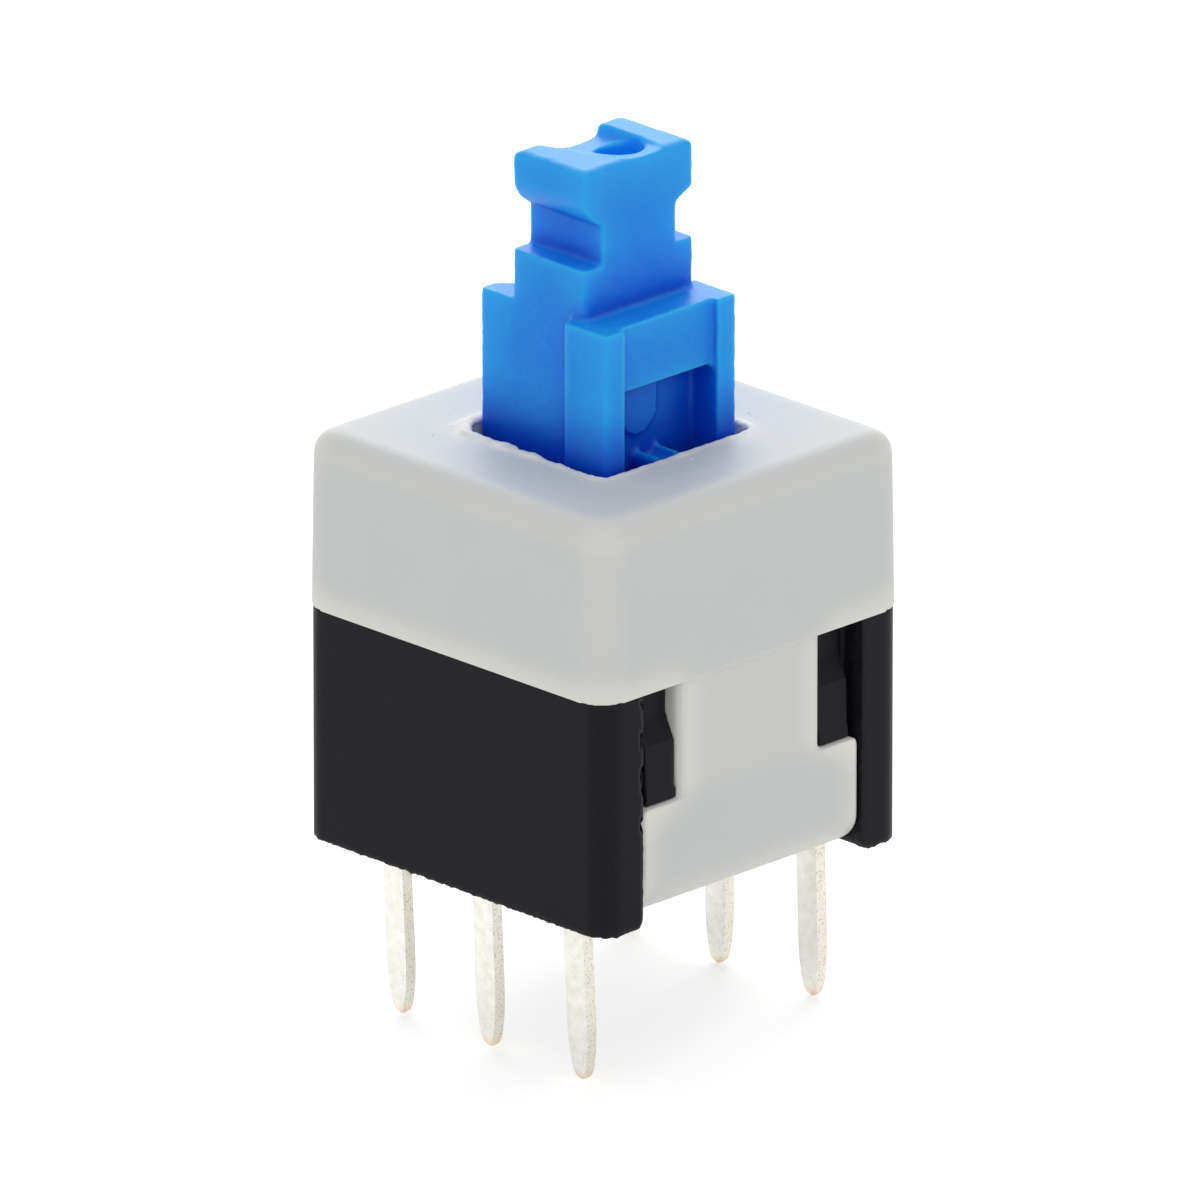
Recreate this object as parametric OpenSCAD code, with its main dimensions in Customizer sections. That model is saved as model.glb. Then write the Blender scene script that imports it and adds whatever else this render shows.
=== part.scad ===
// Latching push-button switch: a two-pole changeover switch in a square snap-fit housing.
// The plunger is pushed down against a coil spring. A wire staple, hinged in the base, follows a
// heart-shaped cam moulded in the plunger and holds it down until the next push.
// Millimetres. The origin is at the centre of the base's seating face, +Z up, X along the pin rows.

/* [Housing] */
// Width of the housing across its flat sides
body_w = 8.5; // [8:0.1:10.5]
// Height of the cover's top face above the seating face
body_h = 8.6; // [8.3:0.1:10.5]
// Height of the line where the cover sits on the base
split_z = 4.9; // [4.6:0.1:5.6]
// Radius of the upright edges at the split line
edge_r = 0.6; // [0.45:0.05:0.9]
// Radius round the cover's top face
crown_r = 0.5; // [0.2:0.05:0.5]
// How far each side of the cover leans in from the split line to the top
draft = 0.06; // [0:0.01:0.09]
// Thickness of the side walls
wall_t = 0.75; // [0.6:0.05:0.8]
// Thickness of the cover's roof
roof_t = 0.85; // [0.6:0.05:0.95]
// Thickness of the base's floor
floor_t = 1.2; // [0.9:0.1:1.4]
// How far the base's long walls stand in from the cover's sides
wall_step = 0.08; // [0.02:0.01:0.15]
// How far the base's corner strips stand in from the cover's sides
strip_step = 0.02; // [0:0.01:0.1]

/* [Snap fit] */
// Width of the cover's tongue where it passes between the base's tabs
tongue_w = 3.94; // [3.4:0.02:4.4]
// Thickness of the tongue above its foot
tongue_t = 0.72; // [0.55:0.01:0.8]
// How far the tongue's outer face stands in from the cover's side
tongue_step = 0.1; // [0.04:0.01:0.15]
// Radius of the tongue's upright outer edges
tongue_r = 0.22; // [0.1:0.02:0.3]
// Width of the tongue's foot, which hooks below the tabs
foot_w = 6.04; // [5.2:0.02:6.3]
// Thickness of the foot
foot_t = 1.05; // [0.9:0.05:1.15]
// Height of the foot's shoulders, where the tabs catch
catch_z = 2.42; // [2.1:0.02:2.8]
// Height of the foot's lower face above the seating face
foot_z = 0.04; // [0.02:0.01:0.3]
// Radius of the foot's lower outer edge
foot_r = 0.9; // [0.3:0.1:0.9]
// Radius of the foot's shoulders
shoulder_r = 0.2; // [0.1:0.02:0.3]
// How far the tabs' outer faces stand in from the corner strips
tab_step = 0.17; // [0.1:0.01:0.25]
// Depth of the lead-in at the top of each tab
lead_in = 0.22; // [0.1:0.01:0.3]
// Height of the tabs' lead-in below the split line
lead_h = 1.25; // [0.8:0.05:1.4]
// Width of the relief between each tab and its corner strip
relief_w = 0.24; // [0.1:0.02:0.3]
// Clearance between the cover's tongue and the base
snap_gap = 0.03; // [0.02:0.01:0.05]

/* [Plunger] */
// Width of the stem along X where it passes through the cover
stem_x = 3.86; // [3.6:0.02:4.2]
// Width of the stem along Y between its flat sides
stem_y = 3.04; // [2.9:0.02:3.3]
// Height of the stem's shoulders above the seating face
stem_z = 11.45; // [11.3:0.05:12.5]
// Width along X of the two columns beside the cam
column_x = 1.24; // [1:0.01:1.4]
// How far the columns stand proud of the stem's flat sides
column_proud = 0.3; // [0.2:0.02:0.36]
// Clearance round the stem in the cover
stem_gap = 0.14; // [0.1:0.01:0.25]
// Depth of the bridge face behind the columns
bridge_step = 0.17; // [0.1:0.01:0.25]
// Height of the bridge face above the cam pocket
bridge_h = 1.37; // [1:0.01:1.5]
// Width of the head along X
head_x = 2.05; // [1.8:0.05:2.4]
// Width of the head along Y
head_y = 3.04; // [2.7:0.02:3.04]
// Height of the head's top above the seating face
head_z = 14.55; // [14.2:0.05:16]
// Depth of the cap notches in the head's two sides
notch_d = 0.5; // [0.3:0.05:0.6]
// Height of the notches' lower ledges above the stem's shoulders
notch_low = 1.05; // [0.9:0.05:1.2]
// Height of the straight part of the notches
notch_h = 0.84; // [0.7:0.01:1]
// Radius round the head's top face
head_r = 0.18; // [0.1:0.02:0.3]
// Width of the groove across the head's top
groove_w = 1.46; // [1.2:0.02:1.6]
// Depth of that groove at the middle of the head
groove_d = 0.18; // [0.14:0.01:0.3]
// How much deeper the groove is at its open end
groove_fall = 0.15; // [0:0.01:0.16]
// Radius of the round well in the groove
well_r = 0.5; // [0.4:0.02:0.6]
// Depth of the well below the head's top
well_d = 0.6; // [0.4:0.05:0.8]
// Radius of the moulded edges of the head and stem
soft_r = 0.12; // [0.05:0.01:0.15]
// Full stroke of the plunger
travel = 2.5; // [2:0.1:2.5]
// Stroke at which the plunger stays latched
latch_travel = 1.4; // [1.3:0.1:1.7]

/* [Latch] */
// Diameter of the staple's wire
wire_d = 0.45; // [0.35:0.05:0.5]
// Inside radius of the staple's bends
wire_bend_r = 0.25; // [0.2:0.05:0.4]
// Width of the cam pocket between the columns
cam_w = 2.56; // [2.4:0.02:2.7]
// Depth of the cam pocket's floor behind the columns' faces
cam_d = 0.75; // [0.6:0.05:0.8]
// Width of the heart-shaped island
heart_w = 0.8; // [0.6:0.05:0.9]
// Radial clearance of the staple in its hinge hole
hinge_gap = 0.03; // [0.02:0.01:0.05]

/* [Terminals and contacts] */
// Distance between the pins in a row
pitch = 2.54; // [2:0.02:2.54]
// Width of a pin
pin_w = 0.55; // [0.4:0.05:0.7]
// Thickness of the terminals' sheet
sheet_t = 0.27; // [0.2:0.01:0.35]
// Length of the pins below the seating face
pin_l = 3.55; // [2.5:0.05:4.5]
// Length of the pins' tapered ends
pin_taper = 1.2; // [0.5:0.1:1.5]
// Radius of the pins' round tips
pin_tip = 0.14; // [0.08:0.01:0.18]
// Thickness of the contact clips' sheet
clip_t = 0.12; // [0.08:0.01:0.15]
// Clearance between a clip and the blades it slides on
clip_gap = 0.05; // [0.03:0.01:0.1]

/* [Return spring] */
// Diameter of the spring's wire
spring_wire = 0.22; // [0.16:0.02:0.26]
// Outer diameter of the spring
spring_d = 1.9; // [1.6:0.1:2]
// Number of turns
spring_turns = 9; // [6:1:11]

/* [Hidden] */
$fn = 48;
eps = 0.01;

// housing
half_w = body_w / 2;
corner = half_w - edge_r;               // distance of the upright edges' centres from the axis
base_r = edge_r - 0.1;                  // radius of the base's upright edges
wall_out = half_w - wall_step;          // outer face of the base's long walls, along Y
well_y = wall_out - wall_t;             // inner face of those walls
strip_out = half_w - strip_step;        // outer face of the corner strips, along X
tongue_out = half_w - tongue_step;
tongue_in = tongue_out - tongue_t;
foot_in = tongue_out - foot_t;
tab_out = strip_out - tab_step;
strip_in = foot_w / 2 + snap_gap;       // inner faces of the corner strips, along Y
roof_z = body_h - roof_t;
hole_w = stem_x + 2 * stem_gap;

// terminals stand against the long walls, and the clips slide on their inner faces
blade_seat = 0.03;
blade_out = well_y - blade_seat;
blade_in = blade_out - sheet_t;
pin_row = blade_out - sheet_t / 2;      // half the distance between the two rows
blade_top = roof_z - 0.75;
blade_low = floor_t + 0.5;              // lower edge of the blades' arms
blade_mid = floor_t + (blade_top - floor_t) * 0.52;

// plunger: its inner body runs between the feet and under the roof
run_gap = 0.05;
block_y = blade_in - 0.62;              // leaves room for the bowed clips
block_x = foot_in - run_gap;
block_top = roof_z - run_gap;
block_low = floor_t + travel + 0.2;
face_x = stem_x / 2;                    // the columns' outer faces
column_out = stem_y / 2 + column_proud;
back_r = 0.12;                          // radius of the stem's two back edges
back_land = 0.4;                        // width of the stem's back face beside the channel
channel_d = 0.35;                       // depth of the channel down the stem's back
channel_y = stem_y / 2 - back_land;     // half its width at the stem's back face
cam_top = stem_z - bridge_h;
cam_floor = face_x - cam_d;

// latch: the staple hinges in the base and its tip rests in the cam's home lane
wire_r = wire_d / 2;
bend_r = wire_bend_r + wire_r;          // radius of the bends along the wire's centre
hinge_r = 0.55;                         // radius of the hinge block's round top
hinge_z = floor_t + hinge_r;
tip_z = cam_top - travel - wire_r - 0.2;
leg_x = face_x + 0.28 + wire_r;         // clear of the plunger's face all the way down
lane = (cam_w / 2 + heart_w / 2) / 2;   // middle of each lane beside the heart
swing = asin(lane / (tip_z - hinge_z));
step_h = 0.12;                          // height of the raised floor on the return lane
step_low = cam_top - 1.2;               // where the raised floor starts
step_y = 0.22;                          // its edge on the heart's far side
step_r = 0.5;                           // radius of its lower end
tip_x = cam_floor + step_h + 0.13;
hinge_in = cam_floor + 0.08;            // inner face of the hinge block
hinge_out = leg_x - bend_r - 0.02;      // the staple's first bend starts just outside it

// contact clips, seated in the plunger's inner body
clip_seat = 0.4;                        // depth of the seats
clip_w = 3.6;
clip_h = 1.5;
clip_z = block_top - 1.3;

// spring bore beside the cam, and the post that centres the spring
bore_r = spring_d / 2 + 0.14;
bore_x = cam_floor - 0.4 - bore_r;
bore_top = stem_z - 2.1;
post_r = spring_d / 2 - spring_wire - 0.12;
post_h = 1.1;

colour_cover = [0.83, 0.84, 0.86];
colour_base = [0.07, 0.07, 0.08];
colour_plunger = [0.13, 0.48, 0.85];
colour_tin = [0.83, 0.82, 0.78];
colour_bronze = [0.78, 0.58, 0.36];
colour_steel = [0.7, 0.71, 0.73];

// ---- helpers ----

// a square plate outline with round corners, centred on the axis
module rounded_square(w, d, r) {
    square([w, d - 2 * r], center = true);
    square([w - 2 * r, d], center = true);
    for (x = [-1, 1], y = [-1, 1])
        translate([x * (w / 2 - r), y * (d / 2 - r)]) circle(r);
}

// an outline in the XZ plane, drawn as (x, z), pushed along Y between two values
module along_y(y0, y1) {
    translate([0, y1, 0]) rotate([90, 0, 0]) linear_extrude(y1 - y0) children();
}

// an outline in the YZ plane, drawn as (y, z), pushed along X between two values
module along_x(x0, x1) {
    translate([x0, 0, 0]) rotate([90, 0, 90]) linear_extrude(x1 - x0) children();
}

module box(lo, hi) {
    translate(lo) cube(hi - lo);
}

// ---- cover ----

// section of one side of the cover, measured outwards from the edges' centres: the crown's arc
// touches both the top face and the drafted side
module side_section() {
    rise = body_h - split_z;
    slant = norm([rise, draft]);
    centre_z = body_h - crown_r;
    centre = edge_r - (crown_r * slant + (centre_z - split_z) * draft) / rise;
    polygon([
        [-eps, split_z], [edge_r, split_z],
        [centre + crown_r * rise / slant, centre_z + crown_r * draft / slant],
        [centre, body_h], [-eps, body_h]]);
    translate([centre, centre_z]) circle(crown_r);
}

// the drafted block of the cover, with round upright and top edges
module cap_block() {
    for (turn = [0:90:270]) rotate([0, 0, turn]) {
        translate([corner, corner, 0]) rotate_extrude(angle = 90) intersection() {
            side_section();
            square([edge_r * 2, body_h * 2]);
        }
        translate([0, corner, 0]) rotate([90, 0, 0])
            linear_extrude(corner * 2) translate([corner, 0]) side_section();
    }
    box([-corner, -corner, split_z], [corner, corner, body_h]);
}

// plan of a plate on the +X side between two distances from the axis, with round outer edges
module plate(inner, outer, w, r) {
    translate([inner, -w / 2]) square([outer - inner - r, w]);
    translate([inner, r - w / 2]) square([outer - inner, w - 2 * r]);
    for (side = [-1, 1]) translate([outer - r, side * (w / 2 - r)]) circle(r);
}

// one tongue on the +X side, with the foot that hooks below the tabs
module tongue() {
    bevel = 0.25;
    foot_edge = 0.12;
    shoulder = foot_w / 2 - shoulder_r;
    translate([0, 0, catch_z - eps]) linear_extrude(split_z - catch_z + 2 * eps)
        plate(tongue_in, tongue_out, tongue_w, tongue_r);
    intersection() {
        along_y(-foot_w / 2, foot_w / 2) union() {
            translate([foot_in, foot_z]) square([foot_t - foot_r + eps, catch_z - foot_z]);
            translate([foot_in, foot_z + foot_r]) square([foot_t, catch_z - foot_z - foot_r]);
            intersection() {
                translate([tongue_out - foot_r, foot_z + foot_r]) circle(foot_r);
                translate([foot_in, foot_z]) square([foot_t, foot_r * 2]);
            }
        }
        along_x(foot_in - 1, half_w) {
            polygon([
                [-foot_w / 2 + bevel, foot_z], [foot_w / 2 - bevel, foot_z],
                [foot_w / 2, foot_z + bevel], [foot_w / 2, catch_z - shoulder_r],
                [shoulder, catch_z], [-shoulder, catch_z],
                [-foot_w / 2, catch_z - shoulder_r], [-foot_w / 2, foot_z + bevel]]);
            for (side = [-1, 1])
                translate([side * shoulder, catch_z - shoulder_r]) circle(shoulder_r);
        }
        linear_extrude(split_z) plate(foot_in - 1, tongue_out, foot_w, foot_edge);
    }
}

module cover() {
    color(colour_cover) difference() {
        union() {
            cap_block();
            for (side = [0, 180]) rotate([0, 0, side]) tongue();
        }
        // the well under the roof
        translate([0, 0, split_z - 1]) linear_extrude(roof_z - split_z + 1)
            rounded_square(tongue_in * 2, well_y * 2, 0.2);
        // the square hole that guides the stem
        translate([0, 0, roof_z - 1]) linear_extrude(roof_t + 2)
            rounded_square(hole_w, hole_w, soft_r);
    }
}

// ---- base ----

// One snap tab beside the +X tongue, on its +Y side. Its face leans out to the catch, and above
// it the lead-in slopes back, so that the foot springs over it. A relief parts it from its strip.
module tab() {
    low = catch_z + snap_gap;
    ledge = split_z - lead_h;
    slope_h = 0.5;
    lean = 0.06;
    top_out = tab_out - lean - lead_in;
    relief_in = top_out - 0.12;
    difference() {
        along_y(tongue_w / 2 + snap_gap, foot_w / 2 + wall_t / 2) polygon([
            [tongue_in, low], [tab_out, low], [tab_out - lean, ledge],
            [top_out, ledge + slope_h], [top_out, split_z], [tongue_in, split_z]]);
        box([relief_in, strip_in - relief_w, low - 1], [half_w, strip_in, split_z + 1]);
    }
}

// outline of one opening for a tongue, seen along X, with a flare at the strips' lower edges
module opening() {
    flare = 0.2;
    translate([-strip_in, -1]) square([strip_in * 2, split_z + 2]);
    for (side = [0, 1]) mirror([side, 0]) difference() {
        translate([strip_in - eps, -1]) square([flare + eps, flare + 1]);
        translate([strip_in + flare, flare]) circle(flare);
    }
}

module base() {
    color(colour_base) difference() {
        union() {
            difference() {
                linear_extrude(split_z) rounded_square(strip_out * 2, wall_out * 2, base_r);
                // the well between the long walls
                translate([0, 0, floor_t]) linear_extrude(split_z)
                    square([tongue_in * 2, well_y * 2], center = true);
                // the two openings that the tongues fill
                for (side = [0, 180]) rotate([0, 0, side])
                    along_x(foot_in - snap_gap, body_w) opening();
            }
            for (side = [0, 180], hand = [0, 1])
                rotate([0, 0, side]) mirror([0, hand, 0]) tab();
            // the post that centres the return spring
            translate([bore_x, 0, 0]) cylinder(r = post_r, h = floor_t + post_h);
            // the block that the staple hinges in
            along_x(hinge_in, hinge_out) {
                translate([-hinge_r, 0]) square([2 * hinge_r, hinge_z]);
                translate([0, hinge_z]) circle(hinge_r);
            }
        }
        translate([hinge_in - eps, 0, hinge_z]) rotate([0, 90, 0])
            cylinder(r = wire_r + hinge_gap, h = hinge_out - hinge_in + 2 * eps);
        // slots that hold the six terminals
        for (row = [-1, 1], column = [-1:1])
            translate([column * pitch, row * pin_row, floor_t / 2])
                cube([pin_w, sheet_t, floor_t + 1], center = true);
    }
}

// ---- plunger ----

// fills the corner between two points of an outline up to an arc, sag proud of the chord
module belly(a, b, sag) {
    chord = norm(b - a);
    r = (chord * chord / 4 + sag * sag) / (2 * sag);
    inward = [a[1] - b[1], b[0] - a[0]] / chord;
    intersection() {
        translate((a + b) / 2 + inward * (r - sag)) circle(r);
        translate([a[0], b[1]]) square([b[0] - a[0], a[1] - b[1]]);
    }
}

// an outline with round upper corners, between two heights
module round_top(w, low, high, r) {
    translate([-w / 2, low]) square([w, high - r - low]);
    translate([r - w / 2, low]) square([w - 2 * r, high - low]);
    for (side = [-1, 1]) translate([side * (w / 2 - r), high - r]) circle(r);
}

// the head and mid section, seen along X as (y, z), without its round top corners
module head_outline() {
    side = head_y / 2;
    neck = side - notch_d;
    ledge = stem_z + notch_low;
    notch_top = ledge + notch_h;
    front_top = notch_top + 0.6;        // the front notch's upper face is steeper than the back's
    back_top = notch_top + 0.25;
    polygon([
        [-side, stem_z - 1], [side, stem_z - 1], [side, ledge], [neck, ledge],
        [neck, notch_top], [side, back_top], [side, head_z],
        [-side, head_z], [-side, front_top], [-neck, notch_top],
        [-neck, ledge], [-side, ledge]]);
    belly([-side, front_top], [-neck, notch_top], 0.09);
}

// the groove, seen along X as (y, z) below the head's top: an arc that ends at a steep wall
module groove_outline() {
    wall = 0.82;                        // the wall's top edge
    slope = 0.2;                        // how far the wall leans per unit of height
    half = groove_w - 0.52;             // from the front lip to the lowest point
    r = (half * half + groove_d * groove_d) / (2 * groove_d);
    intersection() {
        translate([wall + half - groove_w, r - groove_d]) circle(r);
        polygon([
            [wall - groove_w - 1, 1], [wall + slope, 1],
            [wall - slope, -1], [wall - groove_w - 1, -1]]);
    }
}

// the heart-shaped island that the staple's tip runs round, seen along X as (y, z)
module heart_outline() {
    low = tip_z + wire_d + 0.1;
    shoulder = low + 0.55;
    saddle = tip_z + latch_travel - wire_r;
    lobe = heart_w / 4;
    difference() {
        union() {
            polygon([[0, low], [heart_w / 2, shoulder], [heart_w / 2, saddle],
                     [-heart_w / 2, saddle], [-heart_w / 2, shoulder]]);
            for (side = [-1, 1]) translate([side * lobe, saddle]) circle(lobe);
        }
        translate([0, saddle + wire_r]) circle(wire_r);
    }
}

module plunger() {
    color(colour_plunger) difference() {
        union() {
            // head and mid section
            intersection() {
                along_x(-head_x / 2, head_x / 2) intersection() {
                    head_outline();
                    round_top(head_y, stem_z - 1, head_z, head_r);
                }
                along_y(-head_y, head_y) round_top(head_x, stem_z - 1, head_z, head_r);
                linear_extrude(head_z + 1) rounded_square(head_x, head_y, soft_r);
            }
            // stem
            translate([0, 0, block_top - 1]) linear_extrude(stem_z - block_top + 1) {
                rounded_square(stem_x, stem_y, back_r);
                translate([face_x - column_x / 2, 0])
                    rounded_square(column_x, column_out * 2, soft_r);
            }
            // inner body, which stops under the roof
            box([-block_x, -block_y, block_low], [face_x, block_y, block_top]);
        }
        // groove across the head's top, which falls towards the stem's back
        translate([0, 0, head_z]) rotate([0, -atan(groove_fall * 2 / head_x), 0])
            along_x(-head_x, head_x) groove_outline();
        // round well in the head's groove
        translate([0.12, 0.32, head_z - well_d]) cylinder(r = well_r, h = well_d + 1);
        // shallow channel with sloped sides down the stem's back
        translate([-face_x, 0, block_top]) linear_extrude(stem_z)
            polygon([[-1, -channel_y - 1], [channel_d, -channel_y + channel_d],
                     [channel_d, channel_y - channel_d], [-1, channel_y + 1]]);
        // bridge face between the columns
        box([face_x - bridge_step, -cam_w / 2, cam_top - eps], [face_x + 1, cam_w / 2, stem_z + eps]);
        // cam pocket, open below so that the staple's leg and hinge block fit in it
        difference() {
            box([cam_floor, -cam_w / 2, block_low - 1], [face_x + 1, cam_w / 2, cam_top]);
            along_x(cam_floor - 0.1, face_x - 0.12) heart_outline();
            // raised floor on the return lane, with a round lower end
            along_x(cam_floor - 0.1, cam_floor + step_h) {
                translate([-cam_w, step_low + step_r]) square([cam_w + step_y, cam_top]);
                translate([step_y - step_r, step_low + step_r]) circle(step_r);
            }
        }
        // bore for the return spring
        translate([bore_x, 0, block_low - 1]) cylinder(r = bore_r, h = bore_top - block_low + 1);
        // seats for the contact clips
        for (side = [-1, 1])
            translate([bore_x, side * block_y, clip_z])
                cube([clip_w + 0.1, 2 * clip_seat, clip_h + 0.1], center = true);
    }
}

// ---- contact clips ----

// bowed leaf of three fingers, bulging along +Y
module clip() {
    reach = blade_in - clip_gap;
    seat = block_y - clip_seat;
    rise = reach - seat;
    bow_r = (rise * rise + clip_h * clip_h / 4) / (2 * rise);
    translate([bore_x, 0, clip_z]) difference() {
        along_x(-clip_w / 2, clip_w / 2) intersection() {
            translate([reach - bow_r, 0]) difference() {
                circle(bow_r);
                circle(bow_r - clip_t);
            }
            translate([seat + eps, -clip_h / 2]) square([rise + 1, clip_h]);
        }
        for (side = [-1, 1])
            translate([side * clip_w / 6, reach, 0])
                cube([0.25, 2, clip_h - 0.4], center = true);
    }
}

module contact_front() {
    color(colour_bronze) mirror([0, 1, 0]) clip();
}

module contact_rear() {
    color(colour_bronze) clip();
}

// ---- latch staple ----

// wire path in the XZ plane: a leg with two ends turned inwards
module staple() {
    arm = tip_z - hinge_z;
    bend_x = leg_x - bend_r;
    translate([leg_x, 0, bend_r]) cylinder(r = wire_r, h = arm - 2 * bend_r);
    for (end = [0, 1]) translate([0, 0, end * arm]) mirror([0, 0, end])
        translate([bend_x, 0, bend_r]) rotate([90, 0, 0]) rotate([0, 0, -90])
            rotate_extrude(angle = 90) translate([bend_r, 0]) circle(wire_r);
    for (end = [[hinge_in, 0], [tip_x, arm]])
        translate([end[0], 0, end[1]]) rotate([0, 90, 0])
            cylinder(r = wire_r, h = bend_x - end[0]);
}

module latch_pin() {
    color(colour_steel) translate([0, 0, hinge_z]) rotate([-swing, 0, 0]) staple();
}

// ---- return spring ----

module return_spring() {
    sides = 8;
    steps = 16;
    r_mid = spring_d / 2 - spring_wire / 2;
    low = floor_t + spring_wire / 2 + 0.02;
    high = bore_top - spring_wire / 2 - 0.02;
    rings = spring_turns * steps;
    tilt = atan((high - low) / (spring_turns * 2 * PI * r_mid));
    points = [for (i = [0:rings]) let (a = i * 360 / steps, z = low + (high - low) * i / rings)
        for (j = [0:sides - 1]) let (b = j * 360 / sides, u = cos(b), v = sin(b) * spring_wire / 2)
            [(r_mid + u * spring_wire / 2) * cos(a) + v * sin(tilt) * sin(a),
             (r_mid + u * spring_wire / 2) * sin(a) - v * sin(tilt) * cos(a),
             z + v * cos(tilt)]];
    side_faces = [for (i = [0:rings - 1], j = [0:sides - 1]) let (k = (j + 1) % sides)
        [i * sides + j, (i + 1) * sides + j, (i + 1) * sides + k, i * sides + k]];
    color(colour_steel) translate([bore_x, 0, 0])
        polyhedron(points, concat(side_faces, [
            [for (j = [0:sides - 1]) j],
            [for (j = [sides - 1:-1:0]) rings * sides + j]]), convexity = 10);
}

// ---- terminals ----

// A terminal's outline in the XZ plane, centred on its pin: the pin with its tapered, blunt tip,
// and the blade above the floor. arm is how far the blade reaches sideways, between two heights:
// the clips bridge the centre blade to one side blade when up and to the other when down.
module terminal_outline(blade_h, arm, arm_low, arm_high) {
    half = pin_w / 2;
    taper_z = pin_taper - pin_l;
    // the sides bow in to touch the tip's circle
    reach = pin_taper - pin_tip;
    bow_r = (half * half - pin_tip * pin_tip + reach * reach) / (2 * (half - pin_tip));
    touch_z = taper_z - reach - pin_tip * reach / (bow_r - pin_tip);
    intersection() {
        translate([half - bow_r, taper_z]) circle(bow_r);
        translate([bow_r - half, taper_z]) circle(bow_r);
        translate([-half, touch_z]) square([pin_w, taper_z - touch_z]);
    }
    translate([0, pin_tip - pin_l]) circle(pin_tip);
    translate([-half, taper_z - eps]) square([pin_w, floor_t + 0.4 + eps - taper_z]);
    translate([-half, floor_t]) square([pin_w, blade_h - floor_t]);
    translate([min(0, arm), arm_low]) square([abs(arm), arm_high - arm_low]);
}

module terminal(column, row) {
    reach = pitch - 1;
    split = 0.3;                        // half the height between the upper arm and the lower one
    color(colour_tin) translate([column * pitch, 0, 0])
        along_y(row * pin_row - sheet_t / 2, row * pin_row + sheet_t / 2) {
            if (column == 0) terminal_outline(blade_top, 0.6, blade_low, blade_top);
            if (column == -1) terminal_outline(blade_top, reach, blade_mid + split, blade_top);
            if (column == 1)
                terminal_outline(blade_mid - split, -reach, blade_low, blade_mid - split);
        }
}

cover();
base();
plunger();
latch_pin();
return_spring();
contact_front();
contact_rear();
terminal(-1, -1);  // terminal_front_left
terminal(0, -1);  // terminal_front_centre
terminal(1, -1);  // terminal_front_right
terminal(-1, 1);  // terminal_rear_left
terminal(0, 1);  // terminal_rear_centre
terminal(1, 1);  // terminal_rear_right
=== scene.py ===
# %% [markdown]
# A latching push-button switch, 8.5 mm square: grey cover, black base, blue plunger, tinned pins.
# The imported model gives every piece its size and place. This lesson rounds its moulded edges, winds
# its spring, stamps its terminals and gives each material its finish. Lengths are in metres, except
# where a step says millimetres. The box of the whole model is kept and printed.

import math

import bmesh
import bpy
import numpy as np
from mathutils import Matrix, Vector, noise


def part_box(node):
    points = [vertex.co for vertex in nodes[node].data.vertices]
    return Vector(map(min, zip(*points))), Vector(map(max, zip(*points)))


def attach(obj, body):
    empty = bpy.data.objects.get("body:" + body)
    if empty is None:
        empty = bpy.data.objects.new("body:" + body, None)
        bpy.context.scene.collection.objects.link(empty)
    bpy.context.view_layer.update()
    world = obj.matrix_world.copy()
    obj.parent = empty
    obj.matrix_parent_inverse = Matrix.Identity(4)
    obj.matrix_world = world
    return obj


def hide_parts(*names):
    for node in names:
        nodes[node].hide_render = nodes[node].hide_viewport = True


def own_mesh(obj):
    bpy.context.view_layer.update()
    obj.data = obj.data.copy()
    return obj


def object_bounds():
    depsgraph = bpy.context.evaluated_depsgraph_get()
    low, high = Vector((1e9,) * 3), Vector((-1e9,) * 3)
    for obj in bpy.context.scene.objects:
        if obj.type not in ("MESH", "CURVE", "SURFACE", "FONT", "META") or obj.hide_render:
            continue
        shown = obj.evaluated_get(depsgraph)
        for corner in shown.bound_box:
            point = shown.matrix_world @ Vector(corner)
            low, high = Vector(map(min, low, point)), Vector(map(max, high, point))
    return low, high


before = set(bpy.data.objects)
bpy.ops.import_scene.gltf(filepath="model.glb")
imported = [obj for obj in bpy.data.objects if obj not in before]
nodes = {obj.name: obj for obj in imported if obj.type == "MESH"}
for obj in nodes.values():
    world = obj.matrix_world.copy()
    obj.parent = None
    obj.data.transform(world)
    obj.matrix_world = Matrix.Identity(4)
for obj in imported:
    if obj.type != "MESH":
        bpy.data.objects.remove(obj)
cad_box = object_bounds()
lowest, highest = cad_box
MM = 0.001
print("model box in mm:", [[round(v / MM, 3) for v in corner] for corner in cad_box])

# %% [markdown]
# The camera comes first, because every choice of detail is judged through it. A long lens from
# well back keeps upright edges parallel, which suits so small a part. It stands at the corner
# between the plain side and the side with the cam window, a little above the cover.

# %% Camera
AZIMUTH = math.radians(45.24)
ELEVATION = math.radians(20.41)
DISTANCE = 0.685
VIEW_WIDTH = 23.77 * MM
AIM_RIGHT = -0.06 * MM
AIM_UP = 4.67 * MM

back = Vector((
    math.sin(AZIMUTH) * math.cos(ELEVATION),
    -math.cos(AZIMUTH) * math.cos(ELEVATION),
    math.sin(ELEVATION),
))
right = Vector((math.cos(AZIMUTH), math.sin(AZIMUTH), 0))
up = back.cross(right)

camera_data = bpy.data.cameras.new("camera")
camera_data.sensor_width = 36
camera_data.lens = camera_data.sensor_width * DISTANCE / VIEW_WIDTH
camera_data.clip_start = 0.01
camera_data.clip_end = 10
camera = bpy.data.objects.new("camera", camera_data)
bpy.context.scene.collection.objects.link(camera)
camera.matrix_world = (
    Matrix.Translation(right * AIM_RIGHT + up * AIM_UP + back * DISTANCE)
    @ Matrix((right, up, back)).transposed().to_4x4()
)
bpy.context.scene.camera = camera
print("lens in mm:", round(camera_data.lens))

# %% [markdown]
# The light is that of a white tent: even from all round, with a wide soft lamp behind the switch
# that glances off its tops, and a weaker one beside the camera. The world lights the pieces at a
# plain level, and what the camera or a reflection sees of it is pure white. Light Path tells which.

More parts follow.
